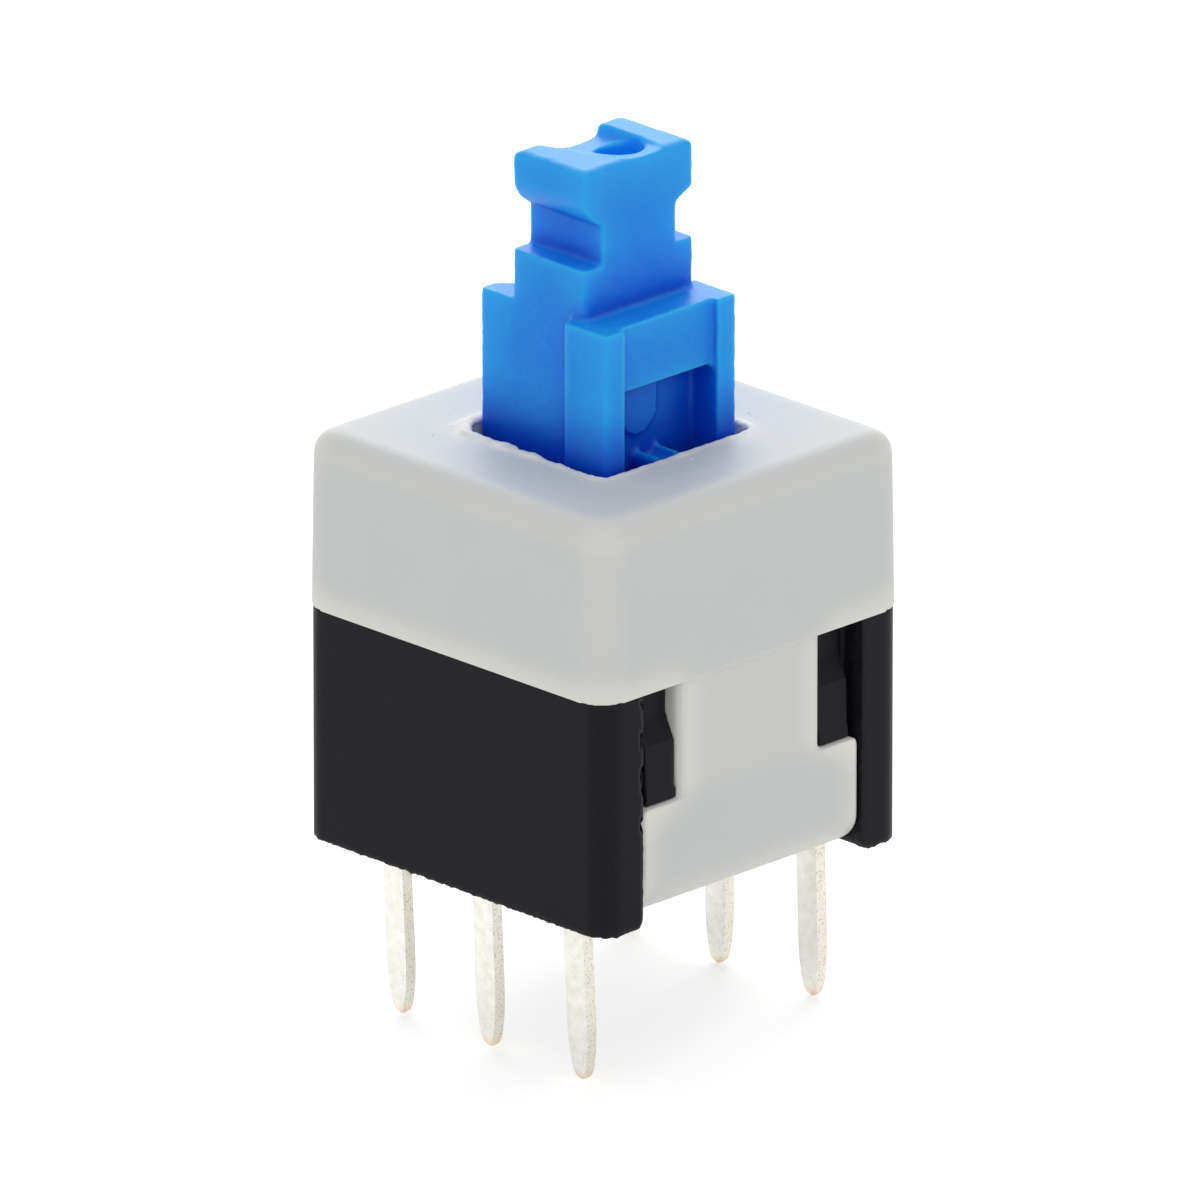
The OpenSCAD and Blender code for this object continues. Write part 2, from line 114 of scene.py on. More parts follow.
# %% World and lamps
TENT_LIGHT = 0.68
LAMP_RISE = Vector((0, 0, 0.5))

scene = bpy.context.scene
scene.view_settings.view_transform = "Standard"


def seen_directly(tree):
    """A socket that is 1 for camera, glossy and transmission rays, and 0 for the light itself."""
    path = tree.nodes.new("ShaderNodeLightPath")
    value = path.outputs["Is Camera Ray"]
    for ray in ("Is Glossy Ray", "Is Transmission Ray"):
        either = tree.nodes.new("ShaderNodeMath")
        either.operation = "MAXIMUM"
        tree.links.new(value, either.inputs[0])
        tree.links.new(path.outputs[ray], either.inputs[1])
        value = either.outputs[0]
    return value


world = bpy.data.worlds.new("tent")
world.use_nodes = True
scene.world = world
tent = world.node_tree
strength = tent.nodes.new("ShaderNodeMix")
strength.inputs["A"].default_value = TENT_LIGHT
strength.inputs["B"].default_value = 1
tent.links.new(seen_directly(tent), strength.inputs["Factor"])
tent.nodes["Background"].inputs["Color"].default_value = (1, 1, 1, 1)
tent.links.new(strength.outputs["Result"], tent.nodes["Background"].inputs["Strength"])


def lamp(name, direction, distance, width, height, power):
    """A soft lamp, wide and high as asked, that looks at the middle of the switch."""
    data = bpy.data.lights.new(name, "AREA")
    data.shape = "RECTANGLE"
    data.size = width
    data.size_y = height
    data.energy = power
    made = bpy.data.objects.new(name, data)
    scene.collection.objects.link(made)
    toward = direction.normalized()
    made.location = (lowest + highest) / 2 + toward * distance
    made.rotation_mode = "QUATERNION"
    made.rotation_quaternion = toward.to_track_quat("Z", "Y")


level = Vector((back.x, back.y, 0)).normalized()
lamp("back_lamp", -level + LAMP_RISE, distance=0.25, width=0.27, height=0.11, power=0.33)
lamp("front_lamp", level + LAMP_RISE, distance=0.30, width=0.16, height=0.12, power=0.05)

# %% [markdown]
# The switch stands on its six pin tips. The floor is a plain pale sheet, and for the camera it is
# lifted to white by an emission that only camera rays see, so the shadow stays on it. From below
# it would hide the pins, so its underside lets the camera through.

# %% Floor
FLOOR_HALF = 0.3
FLOOR_LIFT = 0.45
PAPER_GREY = 0.92

floor_mesh = bpy.data.meshes.new("floor")
around = ((-1, -1), (1, -1), (1, 1), (-1, 1))
corners = [(x * FLOOR_HALF, y * FLOOR_HALF, lowest.z) for x, y in around]
floor_mesh.from_pydata(corners, [], [(0, 1, 2, 3)])
floor = bpy.data.objects.new("floor", floor_mesh)
scene.collection.objects.link(floor)

paper = bpy.data.materials.new("paper")
paper.use_nodes = True
pulp = paper.node_tree
sheet = pulp.nodes["Principled BSDF"]
sheet.inputs["Base Color"].default_value = (PAPER_GREY, PAPER_GREY, PAPER_GREY, 1)
sheet.inputs["Roughness"].default_value = 0.9
sheet.inputs["Specular IOR Level"].default_value = 0.1
sheet.inputs["Emission Color"].default_value = (1, 1, 1, 1)
lift = pulp.nodes.new("ShaderNodeMath")
lift.operation = "MULTIPLY"
lift.inputs[1].default_value = FLOOR_LIFT
pulp.links.new(seen_directly(pulp), lift.inputs[0])
pulp.links.new(lift.outputs[0], sheet.inputs["Emission Strength"])
side = pulp.nodes.new("ShaderNodeNewGeometry")
clear = pulp.nodes.new("ShaderNodeBsdfTransparent")
either_side = pulp.nodes.new("ShaderNodeMixShader")
pulp.links.new(side.outputs["Backfacing"], either_side.inputs["Fac"])
pulp.links.new(sheet.outputs["BSDF"], either_side.inputs[1])
pulp.links.new(clear.outputs["BSDF"], either_side.inputs[2])
pulp.links.new(either_side.outputs["Shader"], pulp.nodes["Material Output"].inputs["Surface"])
floor_mesh.materials.append(paper)
print("floor at", round(lowest.z / MM, 3), "mm")

# %% [markdown]
# Moulded plastic is never one flat colour. Two effects are shared by its three colours: a fine
# grain that the mould's steel leaves, with a slow mottle under it, and a paler line along each
# edge, partly rubbed wear and partly a painted highlight. Each is a node group, built once and
# placed in each material with its own values. The edges come from an attribute that each piece
# carries, so that they also export.

# %% Node groups
MOTTLE_HEIGHT = 0.6


def shader_group(name, inputs, outputs):
    """An empty shader group with named sockets: (name, default) for inputs, names for outputs."""
    group = bpy.data.node_groups.new(name, "ShaderNodeTree")
    for label, default in inputs:
        kind = "NodeSocketColor" if isinstance(default, tuple) else "NodeSocketFloat"
        socket = group.interface.new_socket(label, in_out="INPUT", socket_type=kind)
        socket.default_value = default
    for label in outputs:
        kind = "NodeSocketColor" if label == "Color" else "NodeSocketFloat"
        group.interface.new_socket(label, in_out="OUTPUT", socket_type=kind)
    asked, answer = group.nodes.new("NodeGroupInput"), group.nodes.new("NodeGroupOutput")
    return group, asked.outputs, answer.inputs


def feed(tree, socket, value):
    """Links an input to another socket, or sets it to a plain value."""
    if isinstance(value, bpy.types.NodeSocket):
        tree.links.new(value, socket)
    else:
        socket.default_value = value


def noise_node(tree, scale, detail, vector):
    """The value of a noise texture."""
    made = tree.nodes.new("ShaderNodeTexNoise")
    for label, value in (("Vector", vector), ("Scale", scale), ("Detail", detail)):
        feed(tree, made.inputs[label], value)
    return made.outputs["Fac"]


def math_node(tree, operation, a, b=0.0):
    """The result of one sum on two values."""
    made = tree.nodes.new("ShaderNodeMath")
    made.operation = operation
    for socket, value in zip(made.inputs, (a, b)):
        feed(tree, socket, value)
    return made.outputs[0]


def mix_colour(tree, factor, a, b):
    """A colour between a, at factor 0, and b, at factor 1."""
    made = tree.nodes.new("ShaderNodeMix")
    made.data_type = "RGBA"
    for label, value in (("Factor", factor), ("A", a), ("B", b)):
        feed(tree, made.inputs[label], value)
    return made.outputs["Result"]


grain, asked, answer = shader_group(
    "moulded_grain",
    [("Grain Scale", 9000.0), ("Mottle Scale", 700.0), ("Roughness", 0.4), ("Spread", 0.1)],
    ["Height", "Roughness", "Mottle"],
)
place = grain.nodes.new("ShaderNodeTexCoord").outputs["Object"]
fine = noise_node(grain, scale=asked["Grain Scale"], detail=2, vector=place)
slow = noise_node(grain, scale=asked["Mottle Scale"], detail=3, vector=place)
sway = math_node(grain, "MULTIPLY", math_node(grain, "SUBTRACT", slow, 0.5), asked["Spread"])
height = math_node(grain, "ADD", fine, math_node(grain, "MULTIPLY", slow, MOTTLE_HEIGHT))
grain.links.new(height, answer["Height"])
grain.links.new(math_node(grain, "ADD", asked["Roughness"], sway), answer["Roughness"])
grain.links.new(slow, answer["Mottle"])

# painted highlight, partly rubbed wear: convex edges are mixed towards a paler colour
edges, asked, answer = shader_group(
    "thin_edges",
    [("Color", (0.5, 0.5, 0.5, 1)), ("Edge Color", (0.8, 0.8, 0.8, 1)), ("Amount", 0.5)],
    ["Color"],
)
marked = edges.nodes.new("ShaderNodeAttribute")
marked.attribute_name = "edge"
amount = math_node(edges, "MULTIPLY", marked.outputs["Fac"], asked["Amount"])
edges.links.new(mix_colour(edges, amount, asked["Color"], asked["Edge Color"]), answer["Color"])
print("shader groups:", [g.name for g in bpy.data.node_groups])

# %% [markdown]
# The three plastics use the same two groups. The cover is a pale grey with a satin skin, the base
# a black with a touch more gloss, and the plunger an acetal blue: that one lets light a little way
# in, and the glow of its edges is a painted highlight, paler than its faces.

# %% Plastics
def new_material(name):
    """A material with its node tree and the shader in it."""
    made = bpy.data.materials.new(name)
    made.use_nodes = True
    return made, made.node_tree, made.node_tree.nodes["Principled BSDF"]


def place_group(tree, group, **values):
    """A group in a material's tree, with the values of its named inputs."""
    made = tree.nodes.new("ShaderNodeGroup")
    made.node_tree = group
    for label, value in values.items():
        made.inputs[label.replace("_", " ")].default_value = value
    return made


def textured(tree, surface, skin, grain_depth):
    """Feeds the grain group's roughness and height to a shader."""
    tree.links.new(skin.outputs["Roughness"], surface.inputs["Roughness"])
    bump = tree.nodes.new("ShaderNodeBump")
    bump.inputs["Strength"].default_value = 1
    bump.inputs["Distance"].default_value = grain_depth
    tree.links.new(skin.outputs["Height"], bump.inputs["Height"])
    tree.links.new(bump.outputs["Normal"], surface.inputs["Normal"])


def plastic(name, colour, shade, edge_highlight_colour, edge_amount, roughness, specular, grain_depth):
    """A moulded plastic: colour varies slowly to shade, and edges go to a paler colour, painted
    highlight and rubbed wear in one.
    """
    made, tree, surface = new_material(name)
    skin = place_group(tree, grain, Roughness=roughness)
    rim = place_group(tree, edges, Edge_Color=(*edge_highlight_colour, 1), Amount=edge_amount)
    body = mix_colour(tree, skin.outputs["Mottle"], (*colour, 1), (*shade, 1))
    tree.links.new(body, rim.inputs["Color"])
    tree.links.new(rim.outputs["Color"], surface.inputs["Base Color"])
    textured(tree, surface, skin, grain_depth)
    surface.inputs["Specular IOR Level"].default_value = specular
    return made


cover_plastic = plastic(
    "opal_cover_plastic", colour=(0.668, 0.686, 0.679), shade=(0.708, 0.726, 0.714),
    edge_highlight_colour=(0.76, 0.77, 0.77), edge_amount=0.5, roughness=0.52, specular=0.24,
    grain_depth=0.0000025,
)
base_plastic = plastic(
    "black_base_plastic", colour=(0.0078, 0.0075, 0.0110), shade=(0.0108, 0.0104, 0.0138),
    edge_highlight_colour=(0.027, 0.024, 0.026), edge_amount=0.5, roughness=0.42, specular=0.09,
    grain_depth=0.0000015,
)
plunger_plastic = plastic(
    "blue_plunger_plastic", colour=(0.003, 0.25, 0.92), shade=(0.005, 0.29, 0.97),
    edge_highlight_colour=(0.04, 0.50, 1.0), edge_amount=0.6, roughness=0.43, specular=0.23,
    grain_depth=0.0000025,
)
print("plastics:", cover_plastic.name, base_plastic.name, plunger_plastic.name)

# %% [markdown]
# Light goes a little way into the cover's and the plunger's plastic, and its effects are painted into
# the colour here. Thinner walls are painted paler, as painted glow, and recesses deeper, as painted
# shade, because the light in them comes from their own coloured walls. Ambient Occlusion measures
# both: looking outwards it finds recesses, and looking inwards it finds thinner walls.

# %% Painted glow and shade
# painted colours: a paler blue and a cream for painted glow, a deeper blue for painted shade
PAINTED_GLOW_BLUE = (0.022, 0.47, 1.0, 1)
PAINTED_SHADE_BLUE = (0.0003, 0.072, 0.64, 1)
PAINTED_GLOW_CREAM = (0.91, 0.89, 0.83, 1)


def closeness(tree, distance, inside):
    """From 0 to 1, how open a point's surroundings are: outside the surface or inside it."""
    probe = tree.nodes.new("ShaderNodeAmbientOcclusion")
    probe.samples = 12
    probe.inside = inside
    probe.only_local = inside
    probe.inputs["Distance"].default_value = distance
    return probe.outputs["AO"]


def remapped(tree, value, low, high, start, end):
    """A value's range low to high, stretched to start to end and held there."""
    made = tree.nodes.new("ShaderNodeMapRange")
    limits = {"From Min": low, "From Max": high, "To Min": start, "To Max": end}
    for label, number in limits.items():
        made.inputs[label].default_value = number
    tree.links.new(value, made.inputs["Value"])
    return made.outputs["Result"]


def upward_part(tree, kind):
    """The Z of a point's Object coordinates or of its Normal."""
    split = tree.nodes.new("ShaderNodeSeparateXYZ")
    tree.links.new(tree.nodes.new("ShaderNodeTexCoord").outputs[kind], split.inputs[0])
    return split.outputs["Z"]


def recoloured(material, factor, colour):
    """Mixes a colour into what already feeds a material's base colour."""
    tree = material.node_tree
    base = tree.nodes["Principled BSDF"].inputs["Base Color"]
    tree.links.new(mix_colour(tree, factor, base.links[0].from_socket, colour), base)


blue = plunger_plastic.node_tree
acetal = blue.nodes["Principled BSDF"]
acetal.inputs["Subsurface Weight"].default_value = 0.8
acetal.inputs["Subsurface Radius"].default_value = (0.1, 0.8, 1)
acetal.inputs["Subsurface Scale"].default_value = 0.4 * MM
facing_up = upward_part(blue, "Normal")
# painted light: the paler blue is painted where the acetal is thinner, as if lit through, and on
# faces turned up, as if lit from above
depth = closeness(blue, 1.0 * MM, inside=True)
painted_thin_glow = remapped(blue, depth, low=0.45, high=1, start=0.6, end=0)
painted_top_light = remapped(blue, facing_up, low=0.5, high=1, start=0, end=0.5)
recoloured(plunger_plastic, math_node(blue, "MAXIMUM", painted_thin_glow, painted_top_light), PAINTED_GLOW_BLUE)
# painted shade: recesses are painted a deeper blue, less so in the head, which stands clear, and on
# ledges, which are lit from above
openness = closeness(blue, 1.5 * MM, inside=False)
painted_hollow_shade = remapped(blue, openness, low=0.55, high=1, start=1, end=0)
height = upward_part(blue, "Object")
below_head = remapped(blue, height, low=13.3 * MM, high=13.8 * MM, start=1, end=0.05)
sideways = remapped(blue, facing_up, low=0.3, high=1, start=1, end=0.35)
painted_hollow_shade = math_node(blue, "MULTIPLY", painted_hollow_shade, math_node(blue, "MULTIPLY", below_head, sideways))
recoloured(plunger_plastic, painted_hollow_shade, PAINTED_SHADE_BLUE)

grey = cover_plastic.node_tree
# painted light: the cover is painted paler where its wall is thinner, as if lit through, and low down
# near the floor, as if lit by the floor's bounce
depth = closeness(grey, 0.8 * MM, inside=True)
painted_thin_glow = remapped(grey, depth, low=0.35, high=0.95, start=1, end=0)
height = upward_part(grey, "Object")
painted_floor_glow = remapped(grey, height, low=0.10 * MM, high=0.85 * MM, start=1, end=0)
recoloured(cover_plastic, math_node(grey, "MAXIMUM", painted_thin_glow, painted_floor_glow), PAINTED_GLOW_CREAM)
print("colours deepen in", plunger_plastic.name, "and pale in", cover_plastic.name)

# %% [markdown]
# The metals show the white tent in their surface. Bronze is a copper yellow, and the wires are
# drawn steel. Tin over brass is a warm, slightly clouded white. Its sheared sides are torn and
# pitted, and its tips, cut after plating, show the brass.

# %% Metals
CLOUDS = 4500.0


def metal(name, colour, shade, roughness, spread, grain_scale, grain_depth):
    """A metal: colour varies in clouds to shade, and so does the roughness, by spread."""
    made, tree, surface = new_material(name)
    skin = place_group(
        tree, grain, Roughness=roughness, Spread=spread, Grain_Scale=grain_scale,
        Mottle_Scale=CLOUDS,
    )
    clouds = mix_colour(tree, skin.outputs["Mottle"], (*colour, 1), (*shade, 1))
    tree.links.new(clouds, surface.inputs["Base Color"])
    textured(tree, surface, skin, grain_depth)
    surface.inputs["Metallic"].default_value = 1
    return made


tinned_brass = metal(
    "dull_tinned_brass", colour=(0.92, 0.92, 0.88), shade=(0.70, 0.69, 0.62), roughness=0.36,
    spread=0.25, grain_scale=14000.0, grain_depth=0.000006,
)
contact_bronze = metal(
    "bright_contact_bronze", colour=(0.80, 0.60, 0.38), shade=(0.72, 0.52, 0.32), roughness=0.3,
    spread=0.15, grain_scale=12000.0, grain_depth=0.000002,
)
steel_wire = metal(
    "drawn_steel_wire", colour=(0.62, 0.63, 0.65), shade=(0.52, 0.53, 0.55), roughness=0.25,
    spread=0.2, grain_scale=16000.0, grain_depth=0.000002,
)

SHEARED_TIN = (0.70, 0.66, 0.54, 1)
PIT = (0.30, 0.28, 0.24, 1)
BARE_BRASS = (0.76, 0.56, 0.40, 1)

tin = tinned_brass.node_tree
cut_side = tin.nodes.new("ShaderNodeAttribute")
cut_side.attribute_name = "sheared"
torn = math_node(tin, "MULTIPLY", cut_side.outputs["Fac"], 0.55)
recoloured(tinned_brass, torn, SHEARED_TIN)
place = tin.nodes.new("ShaderNodeTexCoord").outputs["Object"]
specks = noise_node(tin, scale=21000.0, detail=2, vector=place)
specks = remapped(tin, specks, low=0.54, high=0.70, start=0, end=1)
pitting = math_node(tin, "ADD", math_node(tin, "MULTIPLY", torn, 0.9), 0.14)
recoloured(tinned_brass, math_node(tin, "MULTIPLY", specks, pitting), PIT)
height = upward_part(tin, "Object")
bare = remapped(tin, height, low=-3.30 * MM, high=-3.54 * MM, start=0, end=0.8)
recoloured(tinned_brass, bare, BARE_BRASS)
print("metals:", tinned_brass.name, contact_bronze.name, steel_wire.name)

# %% [markdown]
# Everything that repeats or follows a path is grown by a Geometry Nodes tree, so the steps of
# building a tree and of growing a piece from it are written once. The trees work in millimetres.

# %% Geometry Nodes helpers
def geometry_tree(name, inputs):
    """An empty tree that puts out a geometry: (name, default) for inputs, None for a material."""
    tree = bpy.data.node_groups.new(name, "GeometryNodeTree")
    tree.interface.new_socket("Geometry", in_out="OUTPUT", socket_type="NodeSocketGeometry")
    kinds = {type(None): "NodeSocketMaterial", int: "NodeSocketInt", float: "NodeSocketFloat"}
    for label, default in inputs:
        socket = tree.interface.new_socket(label, in_out="INPUT", socket_type=kinds[type(default)])
        if default is not None:
            socket.default_value = default
    return tree, tree.nodes.new("NodeGroupInput").outputs


def placed(tree, kind, **values):
    """A node of a tree, with its inputs set to values or linked to sockets."""
    made = tree.nodes.new(kind)
    for label, value in values.items():
        feed(tree, made.inputs[label.replace("_", " ")], value)
    return made


def point_of(tree):
    """The x, y and z of the point that a tree works on."""
    at = tree.nodes.new("GeometryNodeInputPosition").outputs[0]
    return placed(tree, "ShaderNodeSeparateXYZ", Vector=at).outputs


def calculator(tree):
    """A short way to add sums to one tree: calc(operation, a, b)."""
    def calc(operation, a, b=0.0):
        return math_node(tree, operation, a, b)
    return calc


def put_out(tree, geometry, material):
    """Ends a tree: real mesh instead of instances, in a material."""
    real = placed(tree, "GeometryNodeRealizeInstances", Geometry=geometry)
    coated = placed(tree, "GeometryNodeSetMaterial", Geometry=real.outputs[0], Material=material)
    tree.links.new(coated.outputs[0], tree.nodes.new("NodeGroupOutput").inputs[0])
    print(tree.name, "has", len(tree.nodes), "nodes")


def grown(name, tree, **values):
    """An object in millimetres whose mesh a tree grows from the values of its named inputs."""
    piece = bpy.data.objects.new(name, bpy.data.meshes.new(name))
    scene.collection.objects.link(piece)
    growth = piece.modifiers.new("growth", "NODES")
    growth.node_group = tree
    for socket in tree.interface.items_tree:
        label = socket.name.replace(" ", "_")
        if socket.in_out == "INPUT" and label in values:
            growth[socket.identifier] = values[label]
    return piece


print("trees are built with geometry_tree, placed and put_out, and pieces with grown")

# %% [markdown]
# Where the mould's core met its cavity, a little plastic crept between them. On the cover that
# flash rings the plunger's hole as a ragged lip. One tree draws it: a rounded rectangle, cut
# into short lengths and swept as a tube whose breadth wanders with a noise, then pressed flatter.
# The lip is melted into the cover in the next step.

# %% Flash tree
RING_STEP = 0.04
MEAN_BREADTH = 0.6
LEAST_BREADTH = 0.35
FULLER_LEFT = -0.17

creep, given = geometry_tree(
    "mould_flash",
    [
        ("Size X", 4.26), ("Size Y", 4.26), ("Corner", 0.15), ("Web", 0.28), ("Height", 8.6),
        ("Reach", 0.17), ("Thickness", 0.09), ("Raggedness", 0.9), ("Grain", 2.2), ("Seed", 3.0),
        ("Plastic", None),
    ],
)
calc = calculator(creep)

ring = placed(
    creep, "GeometryNodeCurvePrimitiveQuadrilateral", Width=given["Size X"], Height=given["Size Y"]
)
# in the front left corner a wider web bridges the gap
along = point_of(creep)
webbed = calc("MULTIPLY", calc("LESS_THAN", along["X"], 0.0), calc("LESS_THAN", along["Y"], 0.0))
webbed = calc("ADD", given["Corner"], calc("MULTIPLY", webbed, given["Web"]))
bend = placed(creep, "GeometryNodeFilletCurve", Curve=ring.outputs[0], Radius=webbed)
lengths = placed(creep, "GeometryNodeResampleCurve", Curve=bend.outputs[0])
lengths.mode = "LENGTH"
lengths.inputs["Length"].default_value = RING_STEP
# the breadth wanders, and is fuller on the left, where the mould was worn
wander = creep.nodes.new("ShaderNodeTexNoise")
wander.noise_dimensions = "4D"
at = creep.nodes.new("GeometryNodeInputPosition").outputs[0]
wanted = {"Vector": at, "W": given["Seed"], "Scale": given["Grain"], "Detail": 3.0}
for label, value in wanted.items():
    feed(creep, wander.inputs[label], value)
sway = calc("SUBTRACT", wander.outputs["Fac"], 0.5)
sway = calc("MULTIPLY", sway, calc("MULTIPLY", given["Raggedness"], 2.0))
fuller = calc("ADD", MEAN_BREADTH, calc("MULTIPLY", along["X"], FULLER_LEFT))
share = calc("MINIMUM", calc("MAXIMUM", calc("ADD", fuller, sway), LEAST_BREADTH), 1.0)
section = placed(creep, "GeometryNodeCurvePrimitiveCircle", Resolution=8, Radius=1.0)
swept = placed(
    creep, "GeometryNodeCurveToMesh", Curve=lengths.outputs[0], Profile_Curve=section.outputs[0],
    Scale=calc("MULTIPLY", given["Reach"], share),
)
now = point_of(creep)
pressed = calc("MULTIPLY", now["Z"], calc("DIVIDE", given["Thickness"], given["Reach"]))
lip = placed(
    creep, "ShaderNodeCombineXYZ", X=now["X"], Y=now["Y"], Z=calc("ADD", pressed, given["Height"])
)
flat = placed(
    creep, "GeometryNodeSetPosition", Geometry=swept.outputs[0], Position=lip.outputs[0]
)
smooth = placed(creep, "GeometryNodeSetShadeSmooth", Geometry=flat.outputs[0])
put_out(creep, smooth.outputs[0], given["Plastic"])

# %% [markdown]
# Every new piece is shaped in millimetres by modifiers and ends as a plain mesh in metres. The
# edge group needs to know where its edges are, so the turn of the surface is stored at each
# point. Then the piece gets its material, is hung on its body's empty, and the CAD parts that
# it replaces are hidden.

# %% Finishing a piece
FULL_EDGE = math.radians(22)


def settled(piece):
    """The piece's mesh after its modifiers, which are then gone."""
    mesh = bpy.data.meshes.new_from_object(
        piece.evaluated_get(bpy.context.evaluated_depsgraph_get())
    )
    piece.modifiers.clear()
    piece.data = mesh
    mesh.name = piece.name
    return mesh


def applied(piece):
    """Turns a piece's modifiers into plain mesh, and its millimetres into metres."""
    settled(piece).transform(Matrix.Scale(MM, 4))


def keep_flats_flat(piece):
    """Adds a modifier that shades flats as flats, between smooth edges."""
    level = piece.modifiers.new("flat_shading", "WEIGHTED_NORMAL")
    level.keep_sharp = True


def mark_edges(piece):
    """Stores how sharply the surface turns at each point, from 0 on a flat to 1 on an edge."""
    shape = bmesh.new()
    shape.from_mesh(piece.data)
    turn = []
    for v in shape.verts:
        bends = [e.calc_face_angle_signed(0) for e in v.link_edges]
        turn.append(min(1, max(0, max(bends) / FULL_EDGE)))
    shape.free()
    edge = piece.data.attributes.new("edge", "FLOAT", "POINT")
    edge.data.foreach_set("value", turn)


def finish_piece(piece, material, slot, body, *replaced):
    """Gives a finished mesh its material, hangs it on its body's empty and hides the parts it
    replaces.
    """
    piece.data.materials.clear()
    piece.data.materials.append(material)
    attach(piece, body)
    if replaced:
        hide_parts(*replaced)
    triangles = sum(len(p.vertices) - 2 for p in piece.data.polygons)
    print(piece.name, "-", triangles, "triangles")


print("an edge is fully marked at a turn of", round(math.degrees(FULL_EDGE)), "degrees")

# %% [markdown]
# No moulded edge is sharp: the cutter that made the mould leaves a small radius on each, inside
# corners too. A bevel would need room on every narrow face, so the three moulded pieces are
# remade in voxels a twentieth of a millimetre wide and relaxed, which rounds every edge by about
# as much. Flat places then need few faces, and a Decimate takes the rest away. It all happens at
# a thousand times the size, because the tools' tolerances suit parts of metres.

# %% Voxel copies
VOXEL = 0.05
WELD = 0.002
FACET = math.radians(0.6)


def welded_copy(node, name):
    """A copy of a CAD node's mesh in millimetres, welded, with its flat facets joined."""
    mesh = nodes[node].data.copy()
    mesh.name = name
    mesh.materials.clear()
    mesh.transform(Matrix.Scale(1 / MM, 4))
    shape = bmesh.new()
    shape.from_mesh(mesh)
    bmesh.ops.remove_doubles(shape, verts=shape.verts, dist=WELD)
    bmesh.ops.dissolve_limit(shape, angle_limit=FACET, verts=shape.verts, edges=shape.edges)
    shape.to_mesh(mesh)
    shape.free()
    piece = bpy.data.objects.new(name, mesh)
    scene.collection.objects.link(piece)
    return piece


def melted(node, name, passes, share, wear, growth=None):
    """A copy of a CAD node, with a growth if any, remade in voxels; wear(points) roughens it."""
    piece = welded_copy(node, name)
    if growth:
        shape = bmesh.new()
        shape.from_mesh(piece.data)
        shape.from_mesh(settled(growth))
        shape.to_mesh(piece.data)
        shape.free()
        bpy.data.objects.remove(growth)
    remade = piece.modifiers.new("voxels", "REMESH")
    remade.mode = "VOXEL"
    remade.voxel_size = VOXEL
    remade.use_smooth_shade = True
    relaxed = piece.modifiers.new("relaxed", "SMOOTH")
    relaxed.factor = 0.5
    relaxed.iterations = passes
    mesh = settled(piece)
    points = np.empty(len(mesh.vertices) * 3)
    mesh.vertices.foreach_get("co", points)
    points = points.reshape(-1, 3)
    wear(points)
    mesh.vertices.foreach_set("co", points.ravel())
    mesh.update()
    thinned = piece.modifiers.new("thinned", "DECIMATE")
    thinned.decimate_type = "COLLAPSE"
    thinned.ratio = share
    keep_flats_flat(piece)
    applied(piece)
    mark_edges(piece)
    return piece


print("moulded pieces are remade in voxels of", VOXEL, "mm")

# %% [markdown]
# The moulds of small, cheap parts are worn. A noise pushes the points of chosen regions about: the
# rim of the cover's hole, the base's lower edge, and the edges of its corner strips, two of which
# are chipped beside their tabs. The plunger only loses its perfect flatness.

# %% Three moulded pieces
HOLE_HALF = 2.07
RIM_WIDTH = 0.16
RIM_DEPTH = 0.12
LOWER_EDGE = 0.16
OUTER_WALL = 3.9
STRIP_LOW, STRIP_HIGH = 0.2, 4.8
STRIP_FACE = 4.0
STRIP_INNER, STRIP_OUTER = 3.0, 3.25
CHIP_LOW, CHIP_OUTER = 1.9, 3.13


def ragged(points, chosen, size, depth, push, least=-9):
    """Moves the chosen points along push by a noise of a given size and depth, in millimetres."""
    for index in np.flatnonzero(chosen):
        x, y, z = points[index]
        swell = noise.noise(Vector((x, y, z)) / size)
        swell += 0.6 * noise.noise(Vector((y, z, x)) * 2.7 / size)
        if swell > least:
            points[index] += np.array(push) * np.copysign(1, points[index]) * depth * swell


def wear_cover(points):
    """Roughens the roof beside the hole."""
    x, y, z = abs(points.T)
    by_hole = (x < HOLE_HALF + RIM_WIDTH) & (y < HOLE_HALF + RIM_WIDTH)
    ragged(points, by_hole & (z > roof - RIM_DEPTH), size=0.3, depth=0.02, push=(0, 0, 1))


def wear_base(points):
    """Roughens the lower edge and the strips, and chips two strips beside their tabs."""
    x, y, z = abs(points.T)
    outside = (x > OUTER_WALL) | (y > OUTER_WALL)
    ragged(points, (z < LOWER_EDGE) & outside, size=0.16, depth=0.035, push=(0, 0, 1))
    strip = (z > STRIP_LOW) & (z < STRIP_HIGH) & (x > STRIP_FACE) & (y > STRIP_INNER)
    ragged(points, strip & (y < STRIP_OUTER), size=0.2, depth=0.018, push=(0, 1, 0))
    two_strips = points[:, 0] * points[:, 1] < 0
    chips = strip & two_strips & (z > CHIP_LOW) & (y < CHIP_OUTER)
    ragged(points, chips, size=0.25, depth=0.2, push=(-1, 0, 0), least=0.12)


def wear_plunger(points):
    """Unsettles every surface that stands above the cover."""
    x, y, z = abs(points.T)
    ragged(points, z > roof + 0.3, size=0.35, depth=0.008, push=(1, 1, 1))


